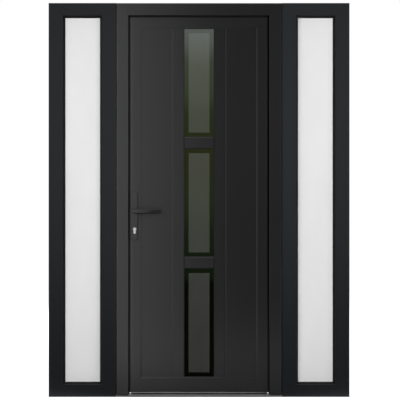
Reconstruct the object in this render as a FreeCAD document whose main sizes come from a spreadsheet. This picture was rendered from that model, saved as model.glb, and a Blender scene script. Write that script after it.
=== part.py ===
import FreeCAD, Part
import Sketcher
import math
import os

# An entrance door that opens inwards, between two fixed sidelights of satin glass.
# X runs along the wall, Y from the outer face to the inner face, Z up.
# The origin is at the middle of the base, halfway through the frame's depth.

# The driving dimensions, in millimetres.
DRIVING = {
    "overall_height": (2032, "top of the frame above the base"),
    "door_frame_width": (856, "over the two door jambs"),
    "sidelight_width": (348, "one sidelight, side to side"),
    "frame_depth": (70, "outer face to inner face"),
    "frame_face": (65, "visible face of a jamb or the head"),
    "frame_rebate": (25, "how far the lip covers the leaf's flange"),
    "frame_lip": (20, "thickness of the lip"),
    "frame_arris": (5, "bevel along the frame's outer edge"),
    "lip_arris": (3, "bevel along the lip's edge"),
    "threshold_height": (11, "sill under the leaf"),
    "threshold_nose": (3, "bevel along the sill's edges"),
    "sill_nose": (9, "metal front of the sill, before its black strip"),
    "sill_strip_width": (53, "black strip in the sill"),
    "sill_strip_depth": (2, "thickness of that strip"),
    "sill_strip_fit": (0.3, "around that strip"),
    "sill_groove": (1, "depth of the grooves in that strip"),
    "sill_groove_width": (6, "width of those grooves"),
    "leaf_gap": (11, "between the lip and the leaf's outer face"),
    "leaf_floor_gap": (9, "between the sill and the leaf"),
    "leaf_setback": (2, "leaf's outer face behind the frame's"),
    "leaf_step": (23, "outer face of the leaf to the face of its flange"),
    "flange_clearance": (8, "between the leaf's flange and the rebate"),
    "leaf_face": (57, "visible face of a stile or the top rail"),
    "bottom_rail_face": (84, "visible face of the bottom rail"),
    "leaf_bevel_width": (12, "shallow bevel around the leaf's edge"),
    "leaf_bevel_drop": (0.8, "depth of that bevel at the edge"),
    "ridge_width": (7, "sloping edge of the stiles and rails"),
    "ridge_drop": (3, "depth of that slope"),
    "rail_foot_bevel": (5, "bevel under the bottom rail"),
    "board_setback": (4.5, "board's face behind the leaf's"),
    "board_thickness": (41.5, "insulated board"),
    "board_tuck": (15, "reach of a board behind the stile's lip"),
    "board_fit": (1, "edge of a board to the rebate"),
    "groove_offset": (136, "middle of the leaf to the middle of a groove"),
    "groove_width": (9, "mouth of a groove"),
    "groove_depth": (1.6, "depth of a groove"),
    "glass_opening": (152, "width of the glass column"),
    "bar_face": (62, "height of a bar between two panes"),
    "glass_arris_width": (4, "bevel along the glass opening"),
    "glass_arris_drop": (3, "depth of that bevel"),
    "pane_thickness": (6, "one sheet of glass"),
    "ledge_width": (12, "ledge that the panes lie on"),
    "pane_fit": (0.3, "edge of a pane or bar to the board"),
    "pane_tuck": (8, "reach of a pane behind a rail's lip"),
    "spacer_width": (8, "black spacer between two panes"),
    "bead_fit": (0.3, "between two beads, and a bead and its board"),
    "bead_arris": (4, "bevel along a bead"),
    "seal_reach": (3, "how far the frame seal shows past the lip"),
    "seal_width": (12, "width of the frame seal"),
    "seal_fit": (0.5, "between the frame seal and the leaf"),
    "brush_width": (10, "thickness of the seal under the leaf"),
    "brush_groove": (8, "depth of its groove"),
    "brush_fit": (0.3, "around the seal in its groove"),
    "brush_clearance": (5, "between that seal and the sill"),
    "brush_side_gap": (12, "end of that seal to the leaf's corner"),
    "side_stile": (84, "side of a sidelight's frame, to the glass"),
    "side_rail": (75, "top or bottom of a sidelight's frame, to the glass"),
    "side_arris": (2, "bevel along a sidelight's edges"),
    "side_gasket": (10, "black gasket that shows around the glass"),
    "side_gasket_rise": (9, "how far that gasket stands up at the lip"),
    "side_gasket_foot": (0.5, "height of that gasket at its edge on the glass"),
    "side_gasket_hold": (8, "reach of that gasket behind the lip"),
    "side_rebate": (16, "lip's reach over the rebate"),
    "side_lip": (20, "thickness of the sidelight's lip"),
    "side_gasket_base": (3, "gasket between the lip and the glass"),
    "side_glass_gap": (16, "space between the two sheets"),
    "side_glass_bite": (12, "reach of the glass behind the lip"),
    "side_spacer": (10, "width of the sidelight's spacer"),
    "side_bead": (18, "width of a glazing bead"),
    "spindle_inset": (20, "leaf's edge to the handle's axis"),
    "spindle_height": (958, "handle's axis above the base"),
    "spindle_size": (8, "square spindle"),
    "spindle_bore": (8, "radius of the hole for it"),
    "cylinder_drop": (92, "handle's axis to the key's axis"),
    "cylinder_radius": (8.5, "round part of the lock cylinder"),
    "cylinder_tail_radius": (5, "foot of the lock cylinder"),
    "cylinder_tail_drop": (19.5, "key's axis to the middle of that foot"),
    "cylinder_proud": (3, "lock cylinder past the handle's plate"),
    "cylinder_fit": (0.2, "around the lock cylinder"),
    "plug_radius": (6.5, "turning core of the lock"),
    "plug_proud": (1, "core past the cylinder"),
    "key_slot_width": (2, "key slot"),
    "key_slot_height": (9, "key slot"),
    "key_slot_depth": (6, "key slot"),
    "plate_width": (32, "handle's plate"),
    "plate_height": (250, "handle's plate"),
    "plate_drop": (25, "handle's axis to the middle of the plate"),
    "plate_thickness": (9, "handle's plate"),
    "plate_bevel": (2, "bevel around the plate's face"),
    "lever_reach": (135, "handle's axis to the lever's tip"),
    "lever_height": (22, "lever seen from the front"),
    "lever_thickness": (13, "lever seen from above"),
    "lever_stand": (20, "plate to the back of the lever"),
    "lever_bend": (50, "length of the lever's turned-in tip"),
    "lever_return": (13, "how far the tip comes back to the door"),
    "lever_end_flat": (0.2, "flat in the middle of the lever's round ends"),
    "lever_bevel": (3.5, "bevel along the lever"),
    "neck_radius": (9, "lever's neck"),
    "neck_fit": (0.5, "around the neck in the plate"),
    "neck_seat": (4, "reach of the neck into the plate"),
    "hinge_axis_depth": (15, "hinge's axis past the inner face"),
    "hinge_barrel_radius": (10, "hinge barrel"),
    "hinge_pin_radius": (5, "hinge pin"),
    "hinge_pin_fit": (0.1, "around the pin"),
    "hinge_knuckle": (40, "height of one knuckle"),
    "hinge_knuckle_gap": (0.5, "between two knuckles"),
    "hinge_plate": (4, "thickness of a hinge's plate"),
    "hinge_plate_width": (34, "width of a hinge's plate"),
    "hinge_plate_inset": (5, "edge of a hinge's plate to the gap"),
    "hinge_neck": (7, "thickness of the arm to the barrel"),
    "hinge_low": (260, "middle of the lowest hinge above the base"),
    "hinge_high": (1760, "middle of the highest hinge above the base"),
    "lock_plate_width": (24, "plate in the leaf's edge"),
    "lock_plate_height": (270, "plate in the leaf's edge"),
    "lock_plate_thickness": (3, "plate in the leaf's edge"),
    "lock_plate_drop": (40, "handle's axis to the middle of that plate"),
    "lock_plate_depth": (12, "that plate's middle past the flange's face"),
    "lock_plate_fit": (0.2, "around that plate"),
    "latch_height": (30, "latch"),
    "latch_width": (14, "latch"),
    "latch_length": (34, "latch, drawn back"),
    "bolt_height": (36, "dead bolt, drawn back"),
    "bolt_fit": (0.3, "around the latch and the bolt"),
    "strike_height": (210, "plate in the jamb"),
}

doc = FreeCAD.newDocument("door_with_sidelights")
sheet = doc.addObject("Spreadsheet::Sheet", "Sizes")
for row, (alias, (size, meaning)) in enumerate(DRIVING.items(), start=1):
    sheet.set(f"A{row}", alias)
    sheet.set(f"B{row}", str(size))
    sheet.setAlias(f"B{row}", alias)
    sheet.set(f"C{row}", meaning)
doc.recompute()


def size(alias):
    """The expression that reads one driving dimension."""
    return f"Sizes.{alias}"


def total(*terms):
    """The expression that adds its terms."""
    return "(" + " + ".join(f"({term})" for term in terms) + ")"


def less(first, *rest):
    """The expression that takes the rest from the first."""
    return "(" + " - ".join(f"({term})" for term in (first, *rest)) + ")"


def times(factor, term):
    """The expression that multiplies a term by a number or another term."""
    return f"(({factor}) * ({term}))"


def number(expression):
    """What an expression is worth now."""
    return float(sheet.evalExpression(expression))


# Depths through the wall, from the outer face to the inner face.
FRONT = times("-1", f"{size('frame_depth')} / 2")
BACK = f"({size('frame_depth')} / 2)"
LIP_BACK = total(FRONT, size("frame_lip"))
LEAF_FRONT = total(FRONT, size("leaf_setback"))
FLANGE_FRONT = total(LEAF_FRONT, size("leaf_step"))
BOARD_FRONT = total(LEAF_FRONT, size("board_setback"))
BOARD_BACK = total(BOARD_FRONT, size("board_thickness"))
OUTER_PANE_FRONT = total(BOARD_FRONT, size("glass_arris_drop"))
OUTER_PANE_BACK = total(OUTER_PANE_FRONT, size("pane_thickness"))
INNER_PANE_BACK = less(BOARD_BACK, size("glass_arris_drop"))
INNER_PANE_FRONT = less(INNER_PANE_BACK, size("pane_thickness"))

# Distances from the middle of the door, the same on both sides.
FRAME_SIDE = f"({size('door_frame_width')} / 2)"
LIP_SIDE = less(FRAME_SIDE, size("frame_face"))
REBATE_SIDE = total(LIP_SIDE, size("frame_rebate"))
LEAF_SIDE = less(LIP_SIDE, size("leaf_gap"))
FLANGE_SIDE = less(REBATE_SIDE, size("flange_clearance"))
BOARD_SIDE = less(LEAF_SIDE, size("leaf_face"))
TUCK_SIDE = total(BOARD_SIDE, size("board_tuck"))
GLASS_SIDE = f"({size('glass_opening')} / 2)"
LEDGE_SIDE = less(GLASS_SIDE, size("ledge_width"))

# Heights above the base.
TOP = size("overall_height")
LIP_TOP = less(TOP, size("frame_face"))
REBATE_TOP = total(LIP_TOP, size("frame_rebate"))
LEAF_TOP = less(LIP_TOP, size("leaf_gap"))
FLANGE_TOP = less(REBATE_TOP, size("flange_clearance"))
BOARD_TOP = less(LEAF_TOP, size("leaf_face"))
TUCK_TOP = total(BOARD_TOP, size("board_tuck"))
SILL_TOP = size("threshold_height")
LEAF_FOOT = total(SILL_TOP, size("leaf_floor_gap"))
BOARD_FOOT = total(LEAF_FOOT, size("bottom_rail_face"))
TUCK_FOOT = less(BOARD_FOOT, size("board_tuck"))
PANE_HEIGHT = f"(({BOARD_TOP} - {BOARD_FOOT} - 2 * {size('bar_face')}) / 3)"

# The handle, the lock and the hinges.
SPINDLE_X = times("-1", less(LEAF_SIDE, size("spindle_inset")))
SPINDLE_Z = size("spindle_height")
KEY_Z = less(SPINDLE_Z, size("cylinder_drop"))
PLATE_FRONT = less(LEAF_FRONT, size("plate_thickness"))
PLATE_BACK = total(BACK, size("plate_thickness"))
LEVER_BACK = less(PLATE_FRONT, size("lever_stand"))
LEVER_FRONT = less(LEVER_BACK, size("lever_thickness"))
LEAF_MIDDLE = f"(({LEAF_FRONT} + {BACK}) / 2)"
HINGE_X = f"(({FLANGE_SIDE} + {REBATE_SIDE}) / 2)"
HINGE_Y = total(BACK, size("hinge_axis_depth"))
LOCK_PLATE_Y = total(FLANGE_FRONT, size("lock_plate_depth"))
LOCK_PLATE_Z = less(SPINDLE_Z, size("lock_plate_drop"))

# Each plane: its role in a body's origin, and which way its normal points along its axis.
PLANES = {"XY": ("XY_Plane", 1), "XZ": ("XZ_Plane", -1), "YZ": ("YZ_Plane", 1)}

# How far a mitre's cut runs past the member's corners, as a share of its width.
MITRE_REACH = "0.3"

# How near an edge has to lie to the level or the place it is looked for at, in millimetres.
NEAR = 0.01

# The least volume that a cut has to take away, in cubic millimetres.
LEAST_CUT = 0.001

PARTS = []
POCKETS = []


def keep(thing, name):
    """Name a finished piece and put it on the list of files."""
    thing.Label = name
    PARTS.append(thing)
    return thing


def new_body(name):
    """An empty body."""
    return doc.addObject("PartDesign::Body", name)


def tie(sketch, kind, element, point, expression):
    """Bind one coordinate of a point to an expression, measured from the sketch's origin."""
    value = number(expression)
    if abs(value) < 1e-9:
        axis = -2 if kind == "DistanceX" else -1
        sketch.addConstraint(Sketcher.Constraint("PointOnObject", element, point, axis))
        return
    index = sketch.addConstraint(Sketcher.Constraint(kind, -1, 1, element, point, value))
    sketch.setExpression(f"Constraints[{index}]", expression)


def bind_radius(sketch, element, expression):
    """Bind the radius of a circle or an arc."""
    index = sketch.addConstraint(Sketcher.Constraint("Radius", element, number(expression)))
    sketch.setExpression(f"Constraints[{index}]", expression)


def polygon(*corners):
    """A closed outline of straight sides through corners given as pairs of expressions."""
    def draw(sketch):
        places = [FreeCAD.Vector(number(u), number(v), 0) for u, v in corners]
        first = sketch.GeometryCount
        count = len(corners)
        for index in range(count):
            side = Part.LineSegment(places[index], places[(index + 1) % count])
            sketch.addGeometry(side)
        for index in range(count):
            after = first + (index + 1) % count
            sketch.addConstraint(Sketcher.Constraint("Coincident", first + index, 2, after, 1))
            tie(sketch, "DistanceX", first + index, 1, corners[index][0])
            tie(sketch, "DistanceY", first + index, 1, corners[index][1])
    return draw


def rectangle(left, low, right, high):
    """A rectangle between two opposite corners."""
    return polygon((left, low), (right, low), (right, high), (left, high))


def circle(across, up, radius):
    """A circle round a centre."""
    def draw(sketch):
        centre = FreeCAD.Vector(number(across), number(up), 0)
        ring = sketch.addGeometry(Part.Circle(centre, FreeCAD.Vector(0, 0, 1), number(radius)))
        tie(sketch, "DistanceX", ring, 3, across)
        tie(sketch, "DistanceY", ring, 3, up)
        bind_radius(sketch, ring, radius)
    return draw


def stadium(across, low, high, radius):
    """An upright outline with full-round ends, whose end centres are at low and high."""
    def draw(sketch):
        x, z0, z1, r = number(across), number(low), number(high), number(radius)
        normal = FreeCAD.Vector(0, 0, 1)
        upper = Part.Circle(FreeCAD.Vector(x, z1, 0), normal, r)
        lower = Part.Circle(FreeCAD.Vector(x, z0, 0), normal, r)
        right = sketch.addGeometry(
            Part.LineSegment(FreeCAD.Vector(x + r, z0, 0), FreeCAD.Vector(x + r, z1, 0)))
        head = sketch.addGeometry(Part.ArcOfCircle(upper, 0, math.pi))
        left = sketch.addGeometry(
            Part.LineSegment(FreeCAD.Vector(x - r, z1, 0), FreeCAD.Vector(x - r, z0, 0)))
        foot = sketch.addGeometry(Part.ArcOfCircle(lower, math.pi, 2 * math.pi))
        for one, other in ((right, head), (head, left), (left, foot), (foot, right)):
            sketch.addConstraint(Sketcher.Constraint("Tangent", one, 2, other, 1))
        for arc, up in ((head, high), (foot, low)):
            tie(sketch, "DistanceX", arc, 3, across)
            tie(sketch, "DistanceY", arc, 3, up)
            bind_radius(sketch, arc, radius)
    return draw


def sketch_on(body, name, plane, level, outlines):
    """A sketch on one of the body's own planes, moved along the axis to a level."""
    role, way = PLANES[plane]
    sketch = body.newObject("Sketcher::SketchObject", name)
    support = next(each for each in body.Origin.OriginFeatures if each.Role == role)
    sketch.AttachmentSupport = [(support, "")]
    sketch.MapMode = "FlatFace"
    sketch.setExpression("AttachmentOffset.Base.z", times(way, level))
    for outline in outlines:
        outline(sketch)
    return sketch


def pad(body, name, plane, low, high, *outlines):
    """Fill the outlines between two levels along the plane's axis."""
    start = low if PLANES[plane][1] > 0 else high
    sketch = sketch_on(body, f"{body.Name}_{name}_sketch", plane, start, outlines)
    feature = body.newObject("PartDesign::Pad", f"{body.Name}_{name}")
    feature.Profile = sketch
    feature.setExpression("Length", less(high, low))
    return feature


def pocket(body, name, plane, low, high, *outlines):
    """Cut the outlines away between two levels along the plane's axis."""
    start = high if PLANES[plane][1] > 0 else low
    sketch = sketch_on(body, f"{body.Name}_{name}_sketch", plane, start, outlines)
    feature = body.newObject("PartDesign::Pocket", f"{body.Name}_{name}")
    feature.Profile = sketch
    feature.setExpression("Length", less(high, low))
    POCKETS.append(feature)
    return feature


def edges_where(feature, test):
    """The names of the straight or round edges whose middle and direction pass a test."""
    names = []
    for index, edge in enumerate(feature.Shape.Edges, start=1):
        middle = edge.valueAt((edge.FirstParameter + edge.LastParameter) / 2)
        if test(edge, middle):
            names.append(f"Edge{index}")
    return names


def dress(body, kind, name, base, test, expression):
    """A Fillet or a Chamfer on the edges of a feature that pass a test."""
    doc.recompute()
    feature = body.newObject(f"PartDesign::{kind}", f"{body.Name}_{name}")
    feature.Base = (base, edges_where(base, test))
    feature.setExpression("Radius" if kind == "Fillet" else "Size", expression)
    return feature


def group(name, pieces):
    """Like pieces that don't touch, kept in one file."""
    bundle = doc.addObject("Part::Compound", name)
    bundle.Links = pieces
    return keep(bundle, name)


def mitre(outer, inner, cuts):
    """The triangle that a mitre cuts off a member, beyond the line from outer to inner corner.

    cuts is "inside" for an upright member, which loses the side towards the opening,
    and "outside" for a level one."""
    across = times(MITRE_REACH, less(outer[0], inner[0]))
    up = times(MITRE_REACH, less(outer[1], inner[1]))
    far_in = (less(inner[0], across), less(inner[1], up))
    far_out = (total(outer[0], across), total(outer[1], up))
    third = (far_in[0], far_out[1]) if cuts == "inside" else (far_out[0], far_in[1])
    return polygon(far_in, far_out, third)


def sided(sign, section):
    """A section drawn for the right side, turned to either side by a sign of 1 or -1."""
    return polygon(*[(times(sign, across), along) for across, along in section])


def turned(sign, corner):
    """A corner of the front view turned to either side."""
    return (times(sign, corner[0]), corner[1])


def frame_section():
    """Section of the door frame, from the middle of the opening outwards."""
    arris = size("frame_arris")
    edge = size("lip_arris")
    return [
        (total(LIP_SIDE, edge), FRONT),
        (less(FRAME_SIDE, arris), FRONT),
        (FRAME_SIDE, total(FRONT, arris)),
        (FRAME_SIDE, BACK),
        (REBATE_SIDE, BACK),
        (REBATE_SIDE, LIP_BACK),
        (LIP_SIDE, LIP_BACK),
        (LIP_SIDE, total(FRONT, edge)),
    ]


def raised(section, from_side, to_height):
    """A section of an upright member laid on its side for a level one: the distance from
    the middle becomes a height, moved by the same amount, and the order of its axes turns."""
    return [(along, total(less(across, from_side), to_height)) for across, along in section]


def make_door_frame():
    """Two jambs and a head, mitred at the top corners."""
    inner = (LIP_SIDE, LIP_TOP)
    outer = (FRAME_SIDE, TOP)
    for name, sign in (("frame_jamb_left", "-1"), ("frame_jamb_right", "1")):
        jamb = new_body(name)
        pad(jamb, "length", "XY", SILL_TOP, TOP, sided(sign, frame_section()))
        corner = mitre(turned(sign, outer), turned(sign, inner), "inside")
        pocket(jamb, "mitre", "XZ", FRONT, BACK, corner)
        if name == "frame_jamb_left":
            cut_strike_recess(jamb)
        keep(jamb, name)
    head = new_body("frame_head")
    section = polygon(*raised(frame_section(), FRAME_SIDE, TOP))
    pad(head, "length", "YZ", times("-1", FRAME_SIDE), FRAME_SIDE, section)
    corners = [mitre(turned(sign, outer), turned(sign, inner), "outside") for sign in ("-1", "1")]
    pocket(head, "mitres", "XZ", FRONT, BACK, *corners)
    keep(head, "frame_head")


def sill_strip(clearance):
    """The black strip in the sill, seen from above and set in by a clearance."""
    side = less(LEAF_SIDE, clearance)
    near = total(FRONT, size("sill_nose"))
    far = total(near, size("sill_strip_width"))
    return rectangle(times("-1", side), total(near, clearance), side, less(far, clearance))


def make_threshold():
    """The low sill that the jambs stand on, with bevelled edges and a recess for its strip."""
    sill = new_body("threshold")
    nose = size("threshold_nose")
    section = polygon(
        (FRONT, "0"),
        (BACK, "0"),
        (BACK, less(SILL_TOP, nose)),
        (less(BACK, nose), SILL_TOP),
        (total(FRONT, nose), SILL_TOP),
        (FRONT, less(SILL_TOP, nose)),
    )
    pad(sill, "length", "YZ", times("-1", FRAME_SIDE), FRAME_SIDE, section)
    floor = less(SILL_TOP, size("sill_strip_depth"))
    pocket(sill, "strip_recess", "XY", floor, SILL_TOP, sill_strip("0"))
    keep(sill, "threshold")


def make_frame_seal():
    """The black seal behind the lip, along both jambs and the head, and the grooved black
    strip in the sill."""
    seal = new_body("rebate_seal")
    near_side = less(LIP_SIDE, size("seal_reach"))
    near_top = less(LIP_TOP, size("seal_reach"))
    far_side = total(near_side, size("seal_width"))
    far_top = total(near_top, size("seal_width"))
    strip = polygon(
        (times("-1", far_side), SILL_TOP),
        (times("-1", near_side), SILL_TOP),
        (times("-1", near_side), near_top),
        (near_side, near_top),
        (near_side, SILL_TOP),
        (far_side, SILL_TOP),
        (far_side, far_top),
        (times("-1", far_side), far_top),
    )
    pad(seal, "strip", "XZ", LIP_BACK, less(FLANGE_FRONT, size("seal_fit")), strip)

    tread = new_body("sill_seal")
    floor = less(SILL_TOP, size("sill_strip_depth"))
    pad(tread, "strip", "XY", floor, SILL_TOP, sill_strip(size("sill_strip_fit")))
    width = size("sill_groove_width")
    middle = total(FRONT, size("sill_nose"), f"{size('sill_strip_width')} / 2")
    grooves = []
    for step in (-1, 0, 1):
        low = total(middle, times(2 * step, width), times("-1", f"{width} / 2"))
        grooves.append(rectangle(times("-1", LEAF_SIDE), low, LEAF_SIDE, total(low, width)))
    pocket(tread, "grooves", "XY", less(SILL_TOP, size("sill_groove")), SILL_TOP, *grooves)
    group("frame_seal", [seal, tread])


def leaf_section():
    """Section of a stile or the top rail, from the boards outwards."""
    return [
        (BOARD_SIDE, total(LEAF_FRONT, size("ridge_drop"))),
        (total(BOARD_SIDE, size("ridge_width")), LEAF_FRONT),
        (less(LEAF_SIDE, size("leaf_bevel_width")), LEAF_FRONT),
        (LEAF_SIDE, total(LEAF_FRONT, size("leaf_bevel_drop"))),
        (LEAF_SIDE, FLANGE_FRONT),
        (FLANGE_SIDE, FLANGE_FRONT),
        (FLANGE_SIDE, BACK),
        (TUCK_SIDE, BACK),
        (TUCK_SIDE, BOARD_FRONT),
        (BOARD_SIDE, BOARD_FRONT),
    ]


def make_leaf_frame():
    """Two stiles, a top rail and a taller bottom rail, mitred at the four corners."""
    top_outer, top_inner = (FLANGE_SIDE, FLANGE_TOP), (BOARD_SIDE, BOARD_TOP)
    foot_outer, foot_inner = (LEAF_SIDE, LEAF_FOOT), (BOARD_SIDE, BOARD_FOOT)
    for name, sign in (("leaf_lock_stile", "-1"), ("leaf_hinge_stile", "1")):
        stile = new_body(name)
        pad(stile, "length", "XY", LEAF_FOOT, FLANGE_TOP, sided(sign, leaf_section()))
        corners = [
            mitre(turned(sign, top_outer), turned(sign, top_inner), "inside"),
            mitre(turned(sign, foot_outer), turned(sign, foot_inner), "inside"),
        ]
        pocket(stile, "mitres", "XZ", LEAF_FRONT, BACK, *corners)
        if name == "leaf_lock_stile":
            cut_lock_openings(stile)
        keep(stile, name)

    rail = new_body("leaf_top_rail")
    section = polygon(*raised(leaf_section(), FLANGE_SIDE, FLANGE_TOP))
    pad(rail, "length", "YZ", times("-1", FLANGE_SIDE), FLANGE_SIDE, section)
    corners = [mitre(turned(s, top_outer), turned(s, top_inner), "outside") for s in ("-1", "1")]
    pocket(rail, "mitres", "XZ", LEAF_FRONT, BACK, *corners)
    keep(rail, "leaf_top_rail")

    rail = new_body("leaf_bottom_rail")
    bevel = size("rail_foot_bevel")
    section = polygon(
        (total(LEAF_FRONT, bevel), LEAF_FOOT),
        (LEAF_FRONT, total(LEAF_FOOT, bevel)),
        (LEAF_FRONT, less(BOARD_FOOT, size("ridge_width"))),
        (total(LEAF_FRONT, size("ridge_drop")), BOARD_FOOT),
        (BOARD_FRONT, BOARD_FOOT),
        (BOARD_FRONT, TUCK_FOOT),
        (BACK, TUCK_FOOT),
        (BACK, LEAF_FOOT),
    )
    pad(rail, "length", "YZ", times("-1", LEAF_SIDE), LEAF_SIDE, section)
    corners = [mitre(turned(s, foot_outer), turned(s, foot_inner), "outside") for s in ("-1", "1")]
    pocket(rail, "mitres", "XZ", LEAF_FRONT, BACK, *corners)
    half = total(f"{size('brush_width')} / 2", size("brush_fit"))
    reach = less(LEAF_SIDE, size("brush_side_gap"))
    groove = rectangle(times("-1", reach), times("-1", half), reach, half)
    pocket(rail, "brush_groove", "XY", LEAF_FOOT, total(LEAF_FOOT, size("brush_groove")), groove)
    keep(rail, "leaf_bottom_rail")

    brush = new_body("bottom_seal")
    half = f"({size('brush_width')} / 2)"
    reach = less(reach, size("brush_fit"))
    strip = rectangle(times("-1", reach), times("-1", half), reach, half)
    low = total(SILL_TOP, size("brush_clearance"))
    high = total(LEAF_FOOT, size("brush_groove"))
    pad(brush, "strip", "XY", low, high, strip)
    keep(brush, "bottom_seal")


def make_boards():
    """The two insulated boards beside the glass, grooved on both faces."""
    groove = size("groove_depth")
    middle = size("groove_offset")
    half = f"{size('groove_width')} / 2"
    edge = less(TUCK_SIDE, size("board_fit"))
    arris = total(GLASS_SIDE, size("glass_arris_width"))
    section = [
        (edge, BOARD_FRONT),
        (total(middle, half), BOARD_FRONT),
        (middle, total(BOARD_FRONT, groove)),
        (less(middle, half), BOARD_FRONT),
        (arris, BOARD_FRONT),
        (GLASS_SIDE, OUTER_PANE_FRONT),
        (GLASS_SIDE, OUTER_PANE_BACK),
        (LEDGE_SIDE, OUTER_PANE_BACK),
        (LEDGE_SIDE, INNER_PANE_FRONT),
        (GLASS_SIDE, INNER_PANE_FRONT),
        (GLASS_SIDE, INNER_PANE_BACK),
        (arris, BOARD_BACK),
        (less(middle, half), BOARD_BACK),
        (middle, less(BOARD_BACK, groove)),
        (total(middle, half), BOARD_BACK),
        (edge, BOARD_BACK),
    ]
    low = total(TUCK_FOOT, size("board_fit"))
    high = less(TUCK_TOP, size("board_fit"))
    for name, sign in (("board_left", "-1"), ("board_right", "1")):
        board = new_body(name)
        pad(board, "length", "XY", low, high, sided(sign, section))
        keep(board, name)


def make_bars():
    """The two bars between the three panes, notched over the boards' ledges, and the packers
    that close the column at its head and foot."""
    wide = less(GLASS_SIDE, size("pane_fit"))
    narrow = less(LEDGE_SIDE, size("pane_fit"))
    ledge = size("ledge_width")
    bevel = size("glass_arris_width")
    for place, name in ((1, "glass_bar_lower"), (2, "glass_bar_upper")):
        low = f"({BOARD_FOOT} + {place} * {PANE_HEIGHT} + {place - 1} * {size('bar_face')})"
        high = total(low, size("bar_face"))
        bar = new_body(name)
        core = rectangle(times("-1", narrow), less(low, ledge), narrow, total(high, ledge))
        pad(bar, "core", "XZ", OUTER_PANE_BACK, INNER_PANE_FRONT, core)
        faces = (
            ("outer", BOARD_FRONT, OUTER_PANE_FRONT, OUTER_PANE_BACK),
            ("inner", BOARD_BACK, INNER_PANE_BACK, INNER_PANE_FRONT),
        )
        for face, level, sink, deep in faces:
            section = polygon(
                (deep, low), (sink, low), (level, total(low, bevel)),
                (level, less(high, bevel)), (sink, high), (deep, high),
            )
            pad(bar, face, "YZ", times("-1", wide), wide, section)
        keep(bar, name)
    packers = []
    ends = (
        ("head", less(BOARD_TOP, ledge), less(TUCK_TOP, size("board_fit"))),
        ("foot", total(TUCK_FOOT, size("board_fit")), total(BOARD_FOOT, ledge)),
    )
    for end, low, high in ends:
        packer = new_body(f"packer_{end}")
        block = rectangle(times("-1", narrow), low, narrow, high)
        pad(packer, "block", "XZ", OUTER_PANE_BACK, INNER_PANE_FRONT, block)
        packers.append(packer)
    group("glass_packers", packers)


def make_leaf_panes():
    """Three sealed units: two sheets of glass each, with a black spacer between them."""
    names = ("pane_bottom", "pane_middle", "pane_top")
    side = less(GLASS_SIDE, size("pane_fit"))
    spacers = []
    for place, name in enumerate(names):
        low = f"({BOARD_FOOT} + {place} * ({PANE_HEIGHT} + {size('bar_face')}))"
        high = total(low, PANE_HEIGHT)
        sheet_low = less(low, size("pane_tuck")) if place == 0 else total(low, size("pane_fit"))
        sheet_high = total(high, size("pane_tuck")) if place == 2 else less(high, size("pane_fit"))
        sheets = []
        for face, near, far in (
            ("outer", OUTER_PANE_FRONT, OUTER_PANE_BACK),
            ("inner", INNER_PANE_FRONT, INNER_PANE_BACK),
        ):
            glass = new_body(f"{name}_{face}")
            outline = rectangle(times("-1", side), sheet_low, side, sheet_high)
            pad(glass, "sheet", "XZ", near, far, outline)
            sheets.append(glass)
        group(name, sheets)
        ring = new_body(f"{name}_spacer")
        out_side = less(LEDGE_SIDE, size("pane_fit"))
        in_side = less(LEDGE_SIDE, size("spacer_width"))
        out_low = total(low, size("ledge_width"))
        out_high = less(high, size("ledge_width"))
        in_low = total(out_low, size("spacer_width"))
        in_high = less(out_high, size("spacer_width"))
        pad(
            ring, "frame", "XZ", OUTER_PANE_BACK, INNER_PANE_FRONT,
            rectangle(times("-1", out_side), out_low, out_side, out_high),
            rectangle(times("-1", in_side), in_low, in_side, in_high),
        )
        spacers.append(ring)
    group("pane_spacers", spacers)


def bead_set(name, side, low, high, centre, width, face, back):
    """Four glazing beads round an opening: two level ones and two between them."""
    pieces = []
    fit = size("bead_fit")
    arris = size("bead_arris")
    left = less(centre, side)
    right = total(centre, side)
    for end, edge, way in (("head", high, "-1"), ("foot", low, "1")):
        bead = new_body(f"{name}_{end}")
        inner = total(edge, times(way, width))
        section = polygon(
            (face, edge), (back, edge),
            (back, less(inner, times(way, arris))),
            (less(back, arris), inner), (face, inner),
        )
        pad(bead, "length", "YZ", left, right, section)
        pieces.append(bead)
    for end, edge, way in (("left", left, "1"), ("right", right, "-1")):
        bead = new_body(f"{name}_{end}")
        inner = total(edge, times(way, width))
        section = polygon(
            (edge, face), (edge, back),
            (less(inner, times(way, arris)), back),
            (inner, less(back, arris)), (inner, face),
        )
        pad(bead, "length", "XY", total(low, width, fit), less(high, width, fit), section)
        pieces.append(bead)
    return group(name, pieces)


def side_x(sign, from_edge):
    """A place across a sidelight, measured from its outer edge towards the door."""
    outer_edge = total(FRAME_SIDE, size("sidelight_width"))
    return times(sign, less(outer_edge, from_edge))


SIDE_BACK_GLASS = total(
    FRONT, size("side_lip"), size("side_gasket_base"),
    size("pane_thickness"), size("side_glass_gap"), size("pane_thickness"),
)


def sidelight_section(face):
    """Section of a sidelight's frame, from its outer edge towards the glass."""
    arris = size("side_arris")
    rebate = less(face, size("side_rebate"))
    lip = total(FRONT, size("side_lip"))
    return [
        ("0", total(FRONT, arris)),
        (arris, FRONT),
        (less(face, arris), FRONT),
        (face, total(FRONT, arris)),
        (face, lip),
        (rebate, lip),
        (rebate, BACK),
        ("0", BACK),
    ]


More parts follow.
